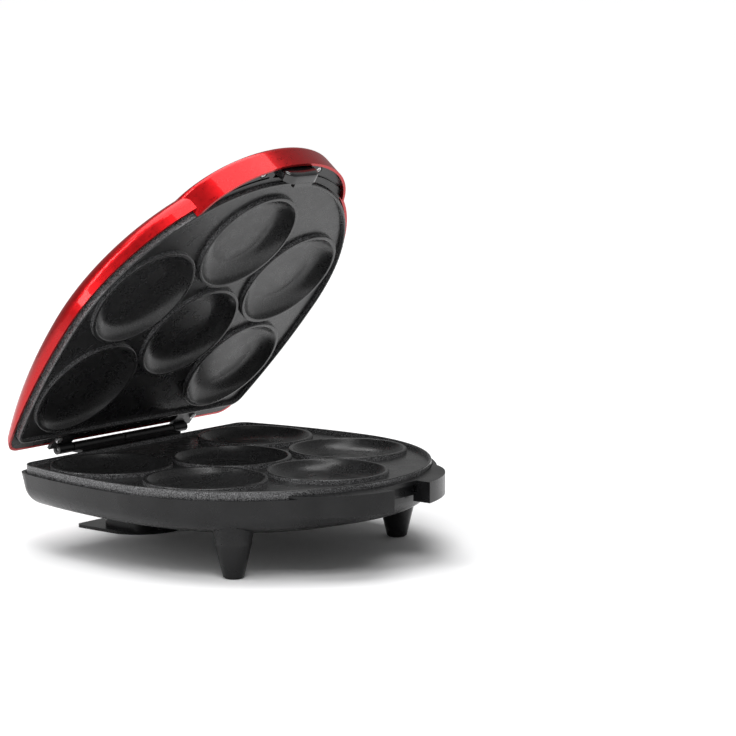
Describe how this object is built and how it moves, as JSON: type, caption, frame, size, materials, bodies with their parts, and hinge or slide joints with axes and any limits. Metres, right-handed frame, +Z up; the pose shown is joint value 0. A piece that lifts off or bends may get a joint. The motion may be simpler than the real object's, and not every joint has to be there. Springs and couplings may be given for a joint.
{
  "type": "arepa maker",
  "caption": "Countertop arepa maker: round cooking pockets in two hinged non-stick plates, a domed lid, a front handle with a swing latch and a rear cord stand.",
  "frame": {"origin": "middle of the bounding box on the table, with the lid open as pictured", "axes": "+Z up, -Y towards the handle and latch, +X to the right seen from the handle"},
  "size_m": [0.303, 0.324, 0.3204],
  "materials": {
    "red_shell": "pearl gloss",
    "black_housing": "satin moulded",
    "cooking_plate": "non-stick coated, satin",
    "heater_sheath": "oxidised sheath",
    "tray_sheet": "rolled sheet",
    "screw_steel": "zinc plated",
    "pad_rubber": "matt",
    "hinge_metal": "satin black",
    "pin_steel": "drawn wire",
    "latch_black": "gloss",
    "green_window": "translucent gloss",
    "red_window": "translucent gloss",
    "lamp_glass": "clear",
    "control_metal": "plain",
    "white_block": "moulded"
  },
  "bodies": {
    "base": {"base_shell": "black_housing", "base_plate": "cooking_plate", "base_element": "heater_sheath", "base_reflector": "tray_sheet", "base_plate_screws": "screw_steel", "foot_pads": "pad_rubber", "rear_stand": "black_housing", "stand_screws": "screw_steel", "inlet_bush": "black_housing", "terminal_block": "white_block", "hinge_strip": "hinge_metal", "hinge_strip_screws": "screw_steel", "hinge_pin_left": "pin_steel", "hinge_pin_right": "pin_steel"},
    "lid": {"lid_shell": "red_shell", "lid_liner": "black_housing", "lid_plate": "cooking_plate", "lid_element": "heater_sheath", "lid_reflector": "tray_sheet", "lid_plate_screws": "screw_steel", "lid_liner_screws": "screw_steel", "lid_ear_screws": "screw_steel", "lid_ear_left": "hinge_metal", "lid_ear_right": "hinge_metal", "thermostat": "control_metal", "thermal_fuse": "control_metal", "fuse_clip": "control_metal", "power_lens": "green_window", "ready_lens": "red_window", "lamp_carrier": "control_metal", "lamps": "lamp_glass", "latch_pin": "pin_steel"},
    "latch": {"latch": "latch_black"}
  },
  "joints": [
    {"name": "lid_hinge", "type": "hinge", "parent": "base", "child": "lid", "pos_m": [0, 0.14354, 0.07224], "axis": [-1, 0, 0], "range_deg": [-50.47, 50]},
    {"name": "latch_pivot", "type": "hinge", "parent": "lid", "child": "latch", "pos_m": [0, -0.03883, 0.30747], "axis": [1, 0, 0], "range_deg": [0, 10]}
  ]
}
